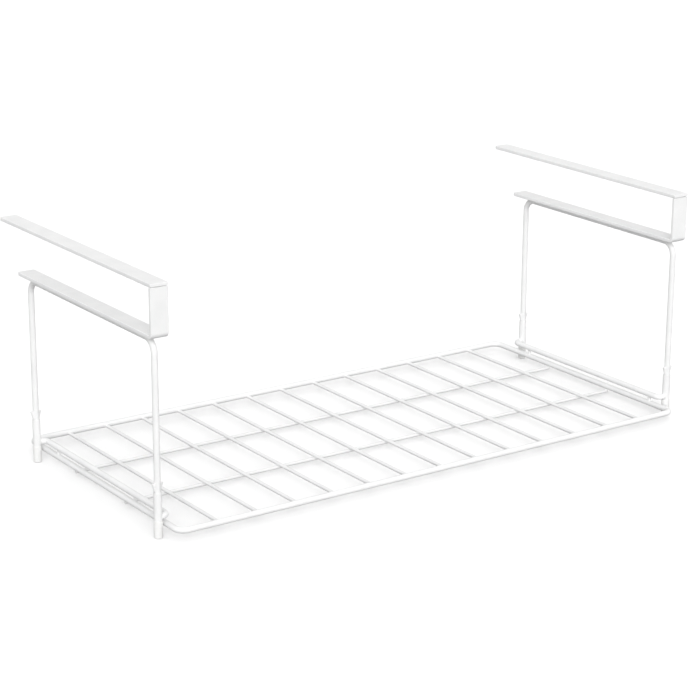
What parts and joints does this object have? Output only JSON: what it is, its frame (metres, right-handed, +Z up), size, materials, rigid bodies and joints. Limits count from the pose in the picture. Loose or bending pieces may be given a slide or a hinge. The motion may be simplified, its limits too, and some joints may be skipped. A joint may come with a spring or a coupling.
{
  "type": "under-shelf basket",
  "caption": "White wire under-shelf basket: a flat wire-grid floor on wire hangers whose flat-bar brackets slip over the front edge of a shelf board.",
  "frame": {"origin": "middle of the rack, on the plane that the leg caps stand on", "axes": "+X along the shelf edge, +Y from the front strap to the back, +Z up"},
  "size_m": [0.525, 0.2578, 0.2],
  "materials": {
    "coated_steel": "white powder coat, satin",
    "cap_plastic": "white moulded plastic, matte"
  },
  "bodies": {
    "root": {"floor_frame": "coated_steel", "cross_wire_01": "coated_steel", "cross_wire_02": "coated_steel", "cross_wire_03": "coated_steel", "cross_wire_04": "coated_steel", "cross_wire_05": "coated_steel", "cross_wire_06": "coated_steel", "cross_wire_07": "coated_steel", "cross_wire_08": "coated_steel", "cross_wire_09": "coated_steel", "cross_wire_10": "coated_steel", "cross_wire_11": "coated_steel", "cross_wire_12": "coated_steel", "cross_wire_13": "coated_steel", "support_wire_front": "coated_steel", "support_wire_rear": "coated_steel", "side_rail_left": "coated_steel", "hanger_wire_left": "coated_steel", "upper_arm_left": "coated_steel", "shelf_bracket_left": "coated_steel", "rail_stud_left_front": "coated_steel", "leg_sleeve_left_front": "coated_steel", "leg_cap_left_front": "cap_plastic", "rail_stud_left_rear": "coated_steel", "leg_sleeve_left_rear": "coated_steel", "leg_cap_left_rear": "cap_plastic", "side_rail_right": "coated_steel", "hanger_wire_right": "coated_steel", "upper_arm_right": "coated_steel", "shelf_bracket_right": "coated_steel", "rail_stud_right_front": "coated_steel", "leg_sleeve_right_front": "coated_steel", "leg_cap_right_front": "cap_plastic", "rail_stud_right_rear": "coated_steel", "leg_sleeve_right_rear": "coated_steel", "leg_cap_right_rear": "cap_plastic"}
  },
  "joints": []
}
